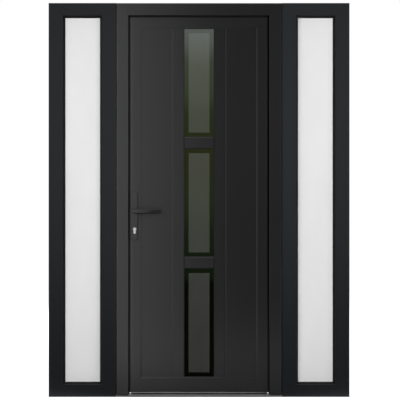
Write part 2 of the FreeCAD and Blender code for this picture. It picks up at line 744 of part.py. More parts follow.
def make_sidelight(prefix, sign):
    """One fixed sidelight: four mitred members, a satin unit, its gaskets and its beads."""
    width = size("sidelight_width")
    stile_face = less(size("side_stile"), size("side_gasket"))
    rail_face = less(size("side_rail"), size("side_gasket"))
    sides = {
        "outer_stile": lambda u: side_x(sign, u),
        "inner_stile": lambda u: side_x(sign, less(width, u)),
    }
    heights = {"bottom_rail": lambda w: w, "head_rail": lambda w: less(TOP, w)}

    for role, place in sides.items():
        stile = new_body(f"{prefix}_{role}")
        section = polygon(*[(place(u), y) for u, y in sidelight_section(stile_face)])
        pad(stile, "length", "XY", "0", TOP, section)
        corners = [
            mitre((place("0"), rise("0")), (place(stile_face), rise(rail_face)), "inside")
            for rise in heights.values()
        ]
        pocket(stile, "mitres", "XZ", FRONT, BACK, *corners)
        keep(stile, stile.Name)

    for role, rise in heights.items():
        rail = new_body(f"{prefix}_{role}")
        section = polygon(*[(y, rise(w)) for w, y in sidelight_section(rail_face)])
        low, high = sorted((side_x(sign, "0"), side_x(sign, width)), key=number)
        pad(rail, "length", "YZ", low, high, section)
        corners = [
            mitre((place("0"), rise("0")), (place(stile_face), rise(rail_face)), "outside")
            for place in sides.values()
        ]
        pocket(rail, "mitres", "XZ", FRONT, BACK, *corners)
        keep(rail, rail.Name)

    def ring(inset):
        """A rectangle set in from the lip's edge by a distance on every side."""
        u = total(stile_face, inset)
        w = total(rail_face, inset)
        low, high = sorted((side_x(sign, u), side_x(sign, less(width, u))), key=number)
        return rectangle(low, w, high, less(TOP, w))

    lip_back = total(FRONT, size("side_lip"))
    outer_glass = total(lip_back, size("side_gasket_base"))
    outer_glass_back = total(outer_glass, size("pane_thickness"))
    inner_glass = less(SIDE_BACK_GLASS, size("pane_thickness"))
    bite = times("-1", size("side_glass_bite"))
    sheets = []
    for face, front, back in (
        ("outer", outer_glass, outer_glass_back), ("inner", inner_glass, SIDE_BACK_GLASS),
    ):
        glass = new_body(f"{prefix}_glass_{face}")
        pad(glass, "sheet", "XZ", front, back, ring(bite))
        sheets.append(glass)
    group(f"{prefix}_glass", sheets)

    base_edge = times("-1", size("side_gasket_hold"))
    gasket = new_body(f"{prefix}_gasket_outer")
    pad(gasket, "base", "XZ", lip_back, outer_glass, ring(base_edge), ring(size("side_gasket")))
    rise_front = less(lip_back, size("side_gasket_rise"))
    wall = pad(gasket, "wall", "XZ", rise_front, lip_back, ring("0"), ring(size("side_gasket")))
    inner_u = total(stile_face, size("side_gasket"))
    edge_x = sorted(abs(number(side_x(sign, u))) for u in (inner_u, less(width, inner_u)))
    edge_z = (number(size("side_rail")), number(less(TOP, size("side_rail"))))
    front_level = number(rise_front)

    def on_inner_front(edge, middle):
        if abs(middle.y - front_level) > NEAR:
            return False
        on_side = min(abs(abs(middle.x) - x) for x in edge_x) < NEAR
        on_end = min(abs(middle.z - z) for z in edge_z) < NEAR
        return on_side or on_end

    slope = less(size("side_gasket_rise"), size("side_gasket_foot"))
    dress(gasket, "Chamfer", "slope", wall, on_inner_front, slope)
    wedge = new_body(f"{prefix}_gasket_inner")
    bead_front = total(SIDE_BACK_GLASS, size("side_gasket_base"))
    pad(wedge, "strip", "XZ", SIDE_BACK_GLASS, bead_front, ring(base_edge), ring("0"))
    spacer = new_body(f"{prefix}_spacer")
    spacer_in = total(bite, size("side_spacer"))
    pad(spacer, "frame", "XZ", outer_glass_back, inner_glass, ring(bite), ring(spacer_in))
    group(f"{prefix}_seals", [gasket, wedge, spacer])

    rebate = less(stile_face, size("side_rebate"))
    low = less(rail_face, size("side_rebate"))
    centre = side_x(sign, f"{width} / 2")
    half = less(f"{width} / 2", rebate)
    bead_set(
        f"{prefix}_beads", half, low, less(TOP, low), centre, size("side_bead"), bead_front, BACK,
    )


def euro_outline(radius_extra):
    """The lock cylinder's two overlapping outlines: its round part and its foot."""
    tail = total(size("cylinder_tail_radius"), radius_extra)
    return (
        circle(SPINDLE_X, KEY_Z, total(size("cylinder_radius"), radius_extra)),
        stadium(SPINDLE_X, less(KEY_Z, size("cylinder_tail_drop")), KEY_Z, tail),
    )


def cut_lock_openings(stile):
    """The holes for the spindle and the cylinder, and the recess for the lock's edge plate."""
    spindle_hole = circle(SPINDLE_X, SPINDLE_Z, size("spindle_bore"))
    pocket(stile, "spindle_hole", "XZ", LEAF_FRONT, BACK, spindle_hole)
    for index, outline in enumerate(euro_outline(size("cylinder_fit"))):
        pocket(stile, f"cylinder_hole_{index}", "XZ", LEAF_FRONT, BACK, outline)
    edge = times("-1", FLANGE_SIDE)
    fit = size("lock_plate_fit")
    half = total(f"{size('lock_plate_width')} / 2", fit)
    tall = total(f"{size('lock_plate_height')} / 2", fit)
    plate = rectangle(
        less(LOCK_PLATE_Y, half), less(LOCK_PLATE_Z, tall),
        total(LOCK_PLATE_Y, half), total(LOCK_PLATE_Z, tall),
    )
    pocket(stile, "plate_recess", "YZ", edge, total(edge, size("lock_plate_thickness")), plate)
    bolts = [bolt_outline(which, size("bolt_fit")) for which in ("latch", "dead_bolt")]
    pocket(stile, "bolt_recess", "YZ", edge, total(edge, size("latch_length")), *bolts)


def bolt_outline(which, extra):
    """The front of the latch or of the dead bolt, grown by a clearance."""
    half = total(f"{size('latch_width')} / 2", extra)
    if which == "latch":
        middle, height = SPINDLE_Z, size("latch_height")
    else:
        middle, height = KEY_Z, size("bolt_height")
    tall = total(f"{height} / 2", extra)
    return rectangle(
        less(LOCK_PLATE_Y, half), less(middle, tall), total(LOCK_PLATE_Y, half), total(middle, tall),
    )


def cut_strike_recess(jamb):
    """The recess for the strike plate in the rebate of the lock-side jamb."""
    wall = times("-1", REBATE_SIDE)
    fit = size("lock_plate_fit")
    half = total(f"{size('lock_plate_width')} / 2", fit)
    tall = total(f"{size('strike_height')} / 2", fit)
    plate = rectangle(
        less(LOCK_PLATE_Y, half), less(LOCK_PLATE_Z, tall),
        total(LOCK_PLATE_Y, half), total(LOCK_PLATE_Z, tall),
    )
    pocket(jamb, "strike_recess", "YZ", less(wall, size("lock_plate_thickness")), wall, plate)
    bolts = [bolt_outline(which, size("bolt_fit")) for which in ("latch", "dead_bolt")]
    pocket(jamb, "bolt_sockets", "YZ", less(wall, size("frame_lip")), wall, *bolts)


def make_lock():
    """The edge plate with its latch and dead bolt drawn back, the strike plate and the
    lock cylinder with a key slot at both ends."""
    edge = times("-1", FLANGE_SIDE)
    wall = times("-1", REBATE_SIDE)
    thickness = size("lock_plate_thickness")
    half = f"{size('lock_plate_width')} / 2"
    openings = [bolt_outline(which, size("bolt_fit")) for which in ("latch", "dead_bolt")]
    plates = (
        ("lock_edge_plate", edge, total(edge, thickness), size("lock_plate_height")),
        ("strike_plate", less(wall, thickness), wall, size("strike_height")),
    )
    for name, low, high, height in plates:
        plate = new_body(name)
        tall = f"{height} / 2"
        outline = rectangle(
            less(LOCK_PLATE_Y, half), less(LOCK_PLATE_Z, tall),
            total(LOCK_PLATE_Y, half), total(LOCK_PLATE_Z, tall),
        )
        pad(plate, "plate", "YZ", low, high, outline, *openings)
        keep(plate, name)
    bolts = []
    for which in ("latch", "dead_bolt"):
        bolt = new_body(which)
        pad(bolt, "length", "YZ", edge, total(edge, size("latch_length")), bolt_outline(which, "0"))
        bolts.append(bolt)
    group("lock_bolts", bolts)

    cylinder = new_body("lock_cylinder")
    proud = size("cylinder_proud")
    low, high = less(PLATE_FRONT, proud), total(PLATE_BACK, proud)
    for index, outline in enumerate(euro_outline("0")):
        pad(cylinder, f"body_{index}", "XZ", low, high, outline)
    plug = circle(SPINDLE_X, KEY_Z, size("plug_radius"))
    plug_low = less(low, size("plug_proud"))
    plug_high = total(high, size("plug_proud"))
    pad(cylinder, "plug", "XZ", plug_low, plug_high, plug)
    slot_half = f"{size('key_slot_width')} / 2"
    slot_tall = f"{size('key_slot_height')} / 2"
    slot = rectangle(
        less(SPINDLE_X, slot_half), less(KEY_Z, slot_tall),
        total(SPINDLE_X, slot_half), total(KEY_Z, slot_tall),
    )
    deep = size("key_slot_depth")
    pocket(cylinder, "slot_outer", "XZ", plug_low, total(plug_low, deep), slot)
    pocket(cylinder, "slot_inner", "XZ", less(plug_high, deep), plug_high, slot)
    keep(cylinder, "lock_cylinder")


def make_handle_plate(name, low, high, face):
    """A long plate with full-round ends, bevelled round its face and bored for the lever's
    neck and the cylinder."""
    plate = new_body(name)
    radius = f"({size('plate_width')} / 2)"
    middle = less(SPINDLE_Z, size("plate_drop"))
    reach = less(f"{size('plate_height')} / 2", radius)
    outline = stadium(SPINDLE_X, less(middle, reach), total(middle, reach), radius)
    base = pad(plate, "plate", "XZ", low, high, outline)
    level = number(face)
    dress(
        plate, "Chamfer", "bevel", base,
        lambda edge, middle: abs(middle.y - level) < NEAR, size("plate_bevel"),
    )
    bore = total(size("neck_radius"), size("neck_fit"))
    pocket(plate, "neck_hole", "XZ", low, high, circle(SPINDLE_X, SPINDLE_Z, bore))
    for index, outline in enumerate(euro_outline(size("cylinder_fit"))):
        pocket(plate, f"cylinder_hole_{index}", "XZ", low, high, outline)
    keep(plate, name)


def make_lever():
    """The lever: bent in plan towards the door at its tip, full-round from the front."""
    lever = new_body("lever_outer")
    half = f"({size('lever_height')} / 2)"
    start = less(SPINDLE_X, half)
    tip = total(SPINDLE_X, size("lever_reach"))
    bend = less(tip, size("lever_bend"))
    back = size("lever_return")
    plan = polygon(
        (start, LEVER_FRONT), (bend, LEVER_FRONT), (tip, total(LEVER_FRONT, back)),
        (tip, total(LEVER_BACK, back)), (bend, LEVER_BACK), (start, LEVER_BACK),
    )
    arm = pad(lever, "arm", "XY", less(SPINDLE_Z, half), total(SPINDLE_Z, half), plan)
    bend_at = number(bend)
    ends = (number(start), number(tip))
    levels = (number(less(SPINDLE_Z, half)), number(total(SPINDLE_Z, half)))

    def at_bend(edge, middle):
        upright = edge.BoundBox.XLength < NEAR and edge.BoundBox.YLength < NEAR
        return upright and abs(middle.x - bend_at) < NEAR

    def at_end(edge, middle):
        through = edge.BoundBox.XLength < NEAR and edge.BoundBox.ZLength < NEAR
        return through and min(abs(middle.x - end) for end in ends) < NEAR

    def along_arm(edge, middle):
        level = edge.BoundBox.ZLength < NEAR and edge.BoundBox.XLength > number(half)
        return level and min(abs(middle.z - height) for height in levels) < NEAR

    bent = dress(lever, "Fillet", "bend", arm, at_bend, size("lever_bend"))
    radius = less(half, f"{size('lever_end_flat')} / 2")
    round_ends = dress(lever, "Fillet", "round_ends", bent, at_end, radius)
    dress(lever, "Chamfer", "bevel", round_ends, along_arm, size("lever_bevel"))
    neck_start = total(LEVER_FRONT, f"{size('lever_thickness')} / 2")
    neck_end = total(PLATE_FRONT, size("neck_seat"))
    neck = circle(SPINDLE_X, SPINDLE_Z, size("neck_radius"))
    pad(lever, "neck", "XZ", neck_start, neck_end, neck)
    keep(lever, "lever_outer")
    inner = doc.addObject("Part::Mirroring", "lever_inner")
    inner.Source = lever
    inner.Normal = FreeCAD.Vector(0, 1, 0)
    inner.setExpression("Base.y", LEAF_MIDDLE)
    keep(inner, "lever_inner")

    spindle = new_body("handle_spindle")
    edge = f"({size('spindle_size')} / 2)"
    square = rectangle(
        less(SPINDLE_X, edge), less(SPINDLE_Z, edge), total(SPINDLE_X, edge), total(SPINDLE_Z, edge),
    )
    inner_end = less(PLATE_BACK, size("neck_seat"))
    pad(spindle, "bar", "XZ", neck_end, inner_end, square)
    keep(spindle, "handle_spindle")


def make_hinges():
    """Three surface hinges on the inner face: the frame's half has the outer knuckles and the
    pin, the leaf's half has the middle knuckle, bored for the pin."""
    frame_parts = []
    leaf_parts = []
    knuckle = size("hinge_knuckle")
    gap = size("hinge_knuckle_gap")
    barrel = size("hinge_barrel_radius")
    half = f"({knuckle} / 2)"
    top = total(half, gap, knuckle)
    for place in range(3):
        height = f"({size('hinge_low')} + {place} * ({size('hinge_high')} - {size('hinge_low')}) / 2)"
        plate_edge = total(REBATE_SIDE, size("hinge_plate_inset"))
        fixed = new_body(f"hinge_fixed_{place}")
        plate_back = total(BACK, size("hinge_plate"))
        plate = rectangle(plate_edge, BACK, total(plate_edge, size("hinge_plate_width")), plate_back)
        pad(fixed, "plate", "XY", times("-1", top), top, plate)
        arm_low = less(total(BACK, size("hinge_axis_depth")), f"{size('hinge_neck')} / 2")
        arm_high = total(arm_low, size("hinge_neck"))
        elbow = total(plate_edge, size("hinge_neck"))
        arm = polygon(
            (HINGE_X, arm_low), (plate_edge, arm_low), (plate_edge, BACK),
            (elbow, BACK), (elbow, arm_high), (HINGE_X, arm_high),
        )
        low_end, low_top = times("-1", top), times("-1", total(half, gap))
        for end, low, high in (("low", low_end, low_top), ("high", total(half, gap), top)):
            pad(fixed, f"arm_{end}", "XY", low, high, arm)
            pad(fixed, f"knuckle_{end}", "XY", low, high, circle(HINGE_X, HINGE_Y, barrel))
        pad(fixed, "pin", "XY", times("-1", top), top, circle(HINGE_X, HINGE_Y, size("hinge_pin_radius")))
        fixed.setExpression("Placement.Base.z", height)
        frame_parts.append(fixed)

        moving = new_body(f"hinge_moving_{place}")
        plate_edge = less(FLANGE_SIDE, size("hinge_plate_inset"))
        plate = rectangle(less(plate_edge, size("hinge_plate_width")), BACK, plate_edge, plate_back)
        pad(moving, "plate", "XY", times("-1", top), top, plate)
        elbow = less(plate_edge, size("hinge_neck"))
        arm = polygon(
            (HINGE_X, arm_low), (plate_edge, arm_low), (plate_edge, BACK),
            (elbow, BACK), (elbow, arm_high), (HINGE_X, arm_high),
        )
        pad(moving, "arm", "XY", times("-1", half), half, arm)
        pad(moving, "knuckle", "XY", times("-1", half), half, circle(HINGE_X, HINGE_Y, barrel))
        bore = circle(HINGE_X, HINGE_Y, total(size("hinge_pin_radius"), size("hinge_pin_fit")))
        pocket(moving, "bore", "XY", times("-1", half), half, bore)
        moving.setExpression("Placement.Base.z", height)
        leaf_parts.append(moving)
    group("hinge_frame_parts", frame_parts)
    group("hinge_leaf_parts", leaf_parts)


make_door_frame()
make_threshold()
make_frame_seal()
make_leaf_frame()
make_boards()
make_bars()
make_leaf_panes()
bead_set(
    "leaf_beads", TUCK_SIDE, TUCK_FOOT, TUCK_TOP, "0", size("board_tuck"),
    total(BOARD_BACK, size("bead_fit")), BACK,
)
make_lock()
make_handle_plate("handle_plate_outer", PLATE_FRONT, LEAF_FRONT, PLATE_FRONT)
make_handle_plate("handle_plate_inner", BACK, PLATE_BACK, PLATE_BACK)
make_lever()
make_hinges()
for side_name, side_sign in (("left_sidelight", "-1"), ("right_sidelight", "1")):
    make_sidelight(side_name, side_sign)
doc.recompute()

for thing in doc.Objects:
    if {"Invalid", "Error"} & set(thing.State):
        raise RuntimeError(f"{thing.Name} failed: {thing.State}")
for cut in POCKETS:
    if cut.Shape.Volume > cut.BaseFeature.Shape.Volume - LEAST_CUT:
        raise RuntimeError(f"{cut.Name} cuts nothing")
os.makedirs("parts", exist_ok=True)
for thing in PARTS:
    if thing.Shape.isNull() or not thing.Shape.isValid():
        raise RuntimeError(f"{thing.Label} has no valid shape")
for thing in PARTS:
    thing.Shape.exportStep(f"parts/{thing.Label}.step")
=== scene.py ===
"""Gives the door with sidelights its finishes and its small fittings, and sets the stage for its picture.

Laid out as an add-on: the settings hold what a user would change, each operator makes one group of like
pieces, and main calls them in order. Lengths are metres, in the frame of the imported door: +X to the right
seen from outside, +Y from the outer face to the inner face, +Z up.
"""

import math

import bmesh
import bpy
import numpy as np
from bpy.props import FloatProperty, FloatVectorProperty, PointerProperty
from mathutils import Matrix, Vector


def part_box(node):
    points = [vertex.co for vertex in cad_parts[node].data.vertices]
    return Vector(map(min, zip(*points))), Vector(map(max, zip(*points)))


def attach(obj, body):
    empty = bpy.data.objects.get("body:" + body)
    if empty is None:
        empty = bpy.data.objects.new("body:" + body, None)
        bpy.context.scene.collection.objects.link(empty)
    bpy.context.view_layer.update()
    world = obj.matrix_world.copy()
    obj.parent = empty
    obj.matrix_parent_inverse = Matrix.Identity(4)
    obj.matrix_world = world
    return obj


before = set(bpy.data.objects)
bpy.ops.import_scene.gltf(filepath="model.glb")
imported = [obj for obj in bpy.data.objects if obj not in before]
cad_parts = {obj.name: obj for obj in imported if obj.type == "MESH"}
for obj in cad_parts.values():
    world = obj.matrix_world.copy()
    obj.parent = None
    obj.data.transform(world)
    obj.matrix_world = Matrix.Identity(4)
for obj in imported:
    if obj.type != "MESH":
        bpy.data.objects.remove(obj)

bl_info = {
    "name": "Door with sidelights",
    "version": (1, 0, 0),
    "blender": (4, 5, 0),
    "location": "View3D > Sidebar > Door",
    "description": "Finishes, small fittings and stage for a metal entrance door with two sidelights",
    "category": "Object",
}

MM = 0.001
# How the place is stretched for a coat's streaks and for brushing, both of which run where it is stretched least.
UPRIGHT = (60.0, 60.0, 1.5)
LEVEL = (1.5, 60.0, 60.0)
BRUSHED_UPRIGHT = (40.0, 40.0, 1.0)
BRUSHED_LEVEL = (1.0, 40.0, 40.0)
NO_STREAKS = (1.0, 1.0, 1.0)
# The steps of a screw head round its axis, and the lobes of its socket.
TURN_STEPS = 24
SOCKET_LOBES = 6
# What the leaf's panes show of the distance: the height above the floor, and the light there.
VIEW_TONES = (
    (0.0, (0.02, 0.04, 0.01)), (0.6, (0.05, 0.08, 0.03)), (1.0, (0.11, 0.14, 0.06)), (1.5, (0.13, 0.15, 0.05)),
    (2.1, (0.15, 0.19, 0.07)), (2.35, (0.26, 0.33, 0.18)), (2.75, (0.32, 0.39, 0.26)), (3.0, (0.62, 0.70, 0.62)),
    (3.5, (0.95, 1.0, 0.97)),
)
# The stands of the lamps: where the lamp is, the point that it faces, its width and its height.
STANDS = {
    "front_left": ((-1.6, -2.2, 1.5), (0.0, 0.0, 1.2), 1.2, 1.2),
    "front_right": ((1.6, -2.2, 1.5), (0.0, 0.0, 1.2), 1.2, 1.2),
    "behind": ((-1.2, 4.6, 2.6), (0.0, 0.0, 1.2), 2.4, 2.4),
    "before_lock": ((-0.62, -0.95, 1.0), (-0.1, 0.0, 1.0), 0.3, 2.8),
    "before_board": ((-0.25, -0.95, 1.0), (-0.1, 0.0, 1.0), 0.3, 2.8),
    "before_hinges": ((0.64, -0.9, 1.0), (-0.3, 0.0, 1.0), 0.4, 2.8),
    "before_lever": ((-0.36, -0.45, 0.96), (-0.36, 0.0, 0.96), 0.08, 0.08),
    "low": ((-0.1, -0.9, 0.07), (0.0, 0.0, 0.07), 2.2, 0.12),
    "whole_front": ((0.0, -2.4, 1.60), (0.0, 0.0, 1.60), 3.6, 2.3),
    "front_aimed_low": ((0.0, -2.4, 1.5), (0.0, 0.0, 0.6), 3.6, 1.2),
    "far_left": ((-1.9, -0.35, 1.0), (-0.2, -0.1, 1.0), 0.5, 2.8),
    "far_right": ((1.9, -0.35, 1.0), (0.2, -0.1, 1.0), 0.5, 2.8),
    "under_leaf": ((-0.53, 0.0, -0.25), (-0.53, 0.001, 0.0), 1.6, 0.06),
    "over_sill": ((0.0, -0.36, 1.9), (0.0, -0.03, 0.0), 1.8, 0.6),
}


def colour(label, text, value):
    """A colour setting, in linear light."""
    return FloatVectorProperty(name=label, description=text, default=value, size=3, min=0.0, max=1.0,
                               subtype="COLOR")


def length(label, text, value):
    """A length setting, in metres."""
    return FloatProperty(name=label, description=text, default=value, min=0.0, unit="LENGTH",
                         subtype="DISTANCE", precision=5)


def share(label, text, value):
    """A setting from nothing to the whole."""
    return FloatProperty(name=label, description=text, default=value, min=0.0, max=1.0, subtype="FACTOR")


def strength(label, text, value):
    """The strength of a light that isn't a lamp, where 1 is white."""
    return FloatProperty(name=label, description=text, default=value, min=0.0, max=20.0)


def watts(label, text, value):
    """A lamp's power setting, in watts."""
    return FloatProperty(name=label, description=text, default=value, min=0.0, max=2000.0, unit="POWER")


class DoorFinishes(bpy.types.PropertyGroup):
    """Colours and gloss of every finish on the door."""

    door_coat: colour("Door coat", "Powder coat of frame and leaf", (0.0100, 0.0100, 0.0104))
    door_roughness: share("Door roughness", "Roughness of the coat on frame and leaf", 0.40)
    side_coat: colour("Sidelight coat", "Powder coat of the sidelights", (0.0060, 0.0070, 0.0087))
    side_roughness: share("Sidelight roughness", "Roughness of the sidelights' coat", 0.52)
    satin_glass: colour("Satin glass", "Etched glass of the sidelights", (0.775, 0.775, 0.775))
    # Painted shade: the clear edge's near-black colour paints the dark room seen through clear glass.
    clear_glass_painted_room_shade: colour("Clear glass", "Dark clear edge of the leaf's panes", (0.0022, 0.0028, 0.0018))
    # Partly painted shade: the milky middle is real etch, but its low tone paints the dark room's shade behind it.
    milky_glass_painted_room_shade: colour("Milky glass", "Etched middle of the leaf's panes", (0.041, 0.042, 0.039))
    rubber: colour("Rubber", "Gaskets and seals", (0.006, 0.006, 0.0063))
    packer: colour("Packers", "Plastic packers under the glass", (0.028, 0.028, 0.029))
    sill: colour("Sill", "Brushed aluminium of the sill", (0.235, 0.235, 0.24))
    nickel: colour("Nickel", "Lock cylinder, bolts and spindle", (0.60, 0.59, 0.57))
    steel: colour("Steel", "Edge plate and strike plate", (0.47, 0.47, 0.48))
    hardware: colour("Hardware coat", "Levers, handle plates and hinges", (0.0125, 0.0125, 0.0129))


class DoorFittings(bpy.types.PropertyGroup):
    """Sizes of the details that the finishes and small fittings have."""

    clear_edge: length("Clear edge", "Width of the clear edge round a pane's milky middle", 22.0 * MM)
    etch_blur: length("Etch blur", "Width over which the milky middle fades out", 1.2 * MM)
    hinge_screw: length("Hinge screw", "Diameter of a hinge screw's head", 8.5 * MM)
    hinge_height: length("Hinge height", "Whole height of one hinge", 121.0 * MM)
    hinge_plate: length("Hinge plate", "Thickness of a hinge's plate", 4.0 * MM)
    hinge_screw_inset: length("Hinge screw inset", "From a hinge plate's outer edge to its screws", 13.0 * MM)
    hinge_screw_pitch: length("Hinge screw pitch", "Between two screws of a hinge plate", 43.0 * MM)
    plate_screw: length("Plate screw", "Diameter of a lock plate screw's head", 7.5 * MM)
    plate_screw_inset: length("Plate screw inset", "From a lock plate's end to its screw", 12.0 * MM)
    screw_dome: length("Screw dome", "Height of a domed screw head over its face", 0.9 * MM)
    plate_screw_dome: length("Plate screw dome", "Height of a lock plate screw's head over its plate", 0.27 * MM)
    coat_rounding: length("Coat rounding", "Rounding that the coat leaves on sharp edges", 0.3 * MM)
    lever_rounding: length("Lever rounding", "Rounding of the lever's bevelled edges", 1.6 * MM)


class DoorStage(bpy.types.PropertyGroup):
    """Camera, lamps and surroundings."""

    camera_distance: length("Camera distance", "From the camera to the frame's outer face", 6.0)
    picture_width: length("Picture width", "Width of the view at the frame's outer face", 2.0628)
    camera_side: length("Camera side step", "How far right of the middle the camera stands", 4.9 * MM)
    camera_height: length("Camera height", "Height of the camera's axis", 1.0159)
    world_light: strength("World light", "Plain light from all round", 0.42)
    surround_glow: strength("Surround glow", "Light of the surround in the coat's gloss", 0.25)
    view_glow: strength("View glow", "Light of the distant view in the leaf's panes", 1.0)
    key_light: watts("Key light", "The large lamp in front at the left", 33.0)
    fill_light: watts("Fill light", "The large lamp in front at the right", 33.0)
    back_light: watts("Back light", "The lamp behind the door", 150.0)
    side_strip: watts("Side strip", "The strip at the lock's side, on the door's left part", 5.8)
    inner_strip: watts("Inner strip", "The strip before the left board, on the door", 1.9)
    low_strip: watts("Low strip", "The strip low in front of the door", 1.2)
    tall_sheet: watts("Tall sheet", "The sheet in front, on the sidelights", 22.0)
    right_strip: watts("Right strip", "The strip at the lock's side, on the door's right part", 2.2)
    edge_strip: watts("Edge strip", "The strip far at the left, on the left jamb's outer edge", 60.0)
    gap_strip: watts("Gap strip", "The strip far at the left, on the right jamb's edge at the gap", 4.0)
    far_edge_strip: watts("Far edge strip", "The strip far at the right, on the edges that face it", 22.0)
    foot_sheet: watts("Foot sheet", "The lamp that lights the leaf's foot from below", 16.0)
    sill_sheet: watts("Sill sheet", "The lamp that lights the sill's edge from above", 2.0)
    ridge_strip: watts("Ridge strip", "The strip on the lock stile's slope and the left board's groove", 5.0)
    lever_light: watts("Lever light", "The small lamp that the outer lever's gloss shows", 0.11)
    metal_light: watts("Metal light", "The lamp that only bare metal shows", 37.0)


def fitted(tree, kind, **values):
    """Adds a node of that kind. Values named after the node's properties are set on it."""
    made = tree.nodes.new(kind)
    for name, value in values.items():
        setattr(made, name, value)
    return made


def join(tree, source, target):
    """Wires one socket to another."""
    tree.links.new(source, target)


def place(tree, stretch=(1.0, 1.0, 1.0)):
    """The point on the object, in its own metres, with each axis multiplied by its stretch."""
    point = fitted(tree, "ShaderNodeTexCoord")
    mapping = fitted(tree, "ShaderNodeMapping")
    mapping.inputs["Scale"].default_value = stretch
    join(tree, point.outputs["Object"], mapping.inputs["Vector"])
    return mapping.outputs["Vector"]


def noise(tree, where, scale, detail=2.0, roughness=0.5):
    """Soft noise from 0 to 1; scale is waves for each metre of the place."""
    made = fitted(tree, "ShaderNodeTexNoise")
    made.inputs["Scale"].default_value = scale
    made.inputs["Detail"].default_value = detail
    made.inputs["Roughness"].default_value = roughness
    join(tree, where, made.inputs["Vector"])
    return made.outputs["Fac"]


def spread(tree, value, low, high, start=0.3, end=0.7):
    """The value's range from start to end, stretched to run from low to high."""
    made = fitted(tree, "ShaderNodeMapRange")
    made.inputs["From Min"].default_value = start
    made.inputs["From Max"].default_value = end
    made.inputs["To Min"].default_value = low
    made.inputs["To Max"].default_value = high
    join(tree, value, made.inputs["Value"])
    return made.outputs["Result"]


def reckon(tree, operation, first, second=None):
    """One sum on two values; each is a socket or a number."""
    made = fitted(tree, "ShaderNodeMath", operation=operation)
    for index, value in enumerate((first, second)):
        if value is None:
            continue
        if isinstance(value, (int, float)):
            made.inputs[index].default_value = value
        else:
            join(tree, value, made.inputs[index])
    return made.outputs["Value"]


def blended(tree, factor, first, second):
    """The first colour where the factor is 0, and the second where it is 1."""
    made = fitted(tree, "ShaderNodeMix", data_type="RGBA")
    for name, value in (("A", first), ("B", second)):
        socket = next(s for s in made.inputs if s.name == name and s.type == "RGBA")
        if isinstance(value, bpy.types.NodeSocket):
            join(tree, value, socket)
        else:
            socket.default_value = (*value, 1.0)
    join(tree, factor, made.inputs["Factor"])
    return next(s for s in made.outputs if s.type == "RGBA")


def shaded(base, factor):
    """A colour made lighter or darker by the factor."""
    return tuple(part * factor for part in base)


def grained(tree, shader, height, strength, depth):
    """Raises the surface by the height, as light shows it."""
    made = fitted(tree, "ShaderNodeBump")
    made.inputs["Strength"].default_value = strength
    made.inputs["Distance"].default_value = depth
    join(tree, height, made.inputs["Height"])
    join(tree, made.outputs["Normal"], shader.inputs["Normal"])


def started(name):
    """A new material with its node tree and its shader."""
    made = bpy.data.materials.new(name)
    made.use_nodes = True
    return made, made.node_tree, made.node_tree.nodes["Principled BSDF"]


def powder_coat(name, base, roughness, shine, along):
    """Satin powder coat: fine orange peel, faint streaks along the member and slow cloudy changes of tone."""
    made, tree, shader = started(name)
    streaks = noise(tree, place(tree, along), 6.0, 3.0)
    clouds = noise(tree, place(tree), 1.7, 2.0)
    peel = noise(tree, place(tree), 1400.0, 1.0)
    tone = reckon(tree, "ADD", reckon(tree, "MULTIPLY", streaks, 0.6), reckon(tree, "MULTIPLY", clouds, 0.4))
    join(tree, blended(tree, spread(tree, tone, 0.0, 1.0), shaded(base, 0.90), shaded(base, 1.10)),
         shader.inputs["Base Color"])
    join(tree, spread(tree, streaks, roughness - 0.03, roughness + 0.03), shader.inputs["Roughness"])
    shader.inputs["Specular IOR Level"].default_value = shine
    grained(tree, shader, peel, 0.12, 0.03 * MM)
    return made


def coats_both_ways(name, base, roughness, shine):
    """One coat for upright members and one for level members: the same but for the way its streaks run."""
    return [powder_coat(f"{name}_{way}", base, roughness, shine, along)
            for way, along in (("upright", UPRIGHT), ("level", LEVEL))]


def satin_glass(name, base):
    """Acid-etched glass: milky, softly clouded, with a fine even tooth."""
    made, tree, shader = started(name)
    clouds = noise(tree, place(tree, (1.0, 1.0, 0.45)), 3.2, 3.0, 0.6)
    join(tree, blended(tree, spread(tree, clouds, 0.0, 1.0), shaded(base, 0.955), shaded(base, 1.03)),
         shader.inputs["Base Color"])
    join(tree, spread(tree, clouds, 0.42, 0.50), shader.inputs["Roughness"])
    shader.inputs["Specular IOR Level"].default_value = 0.3
    shader.inputs["Transmission Weight"].default_value = 0.12
    grained(tree, shader, noise(tree, place(tree), 2500.0, 1.0), 0.10, 0.02 * MM)
    return made


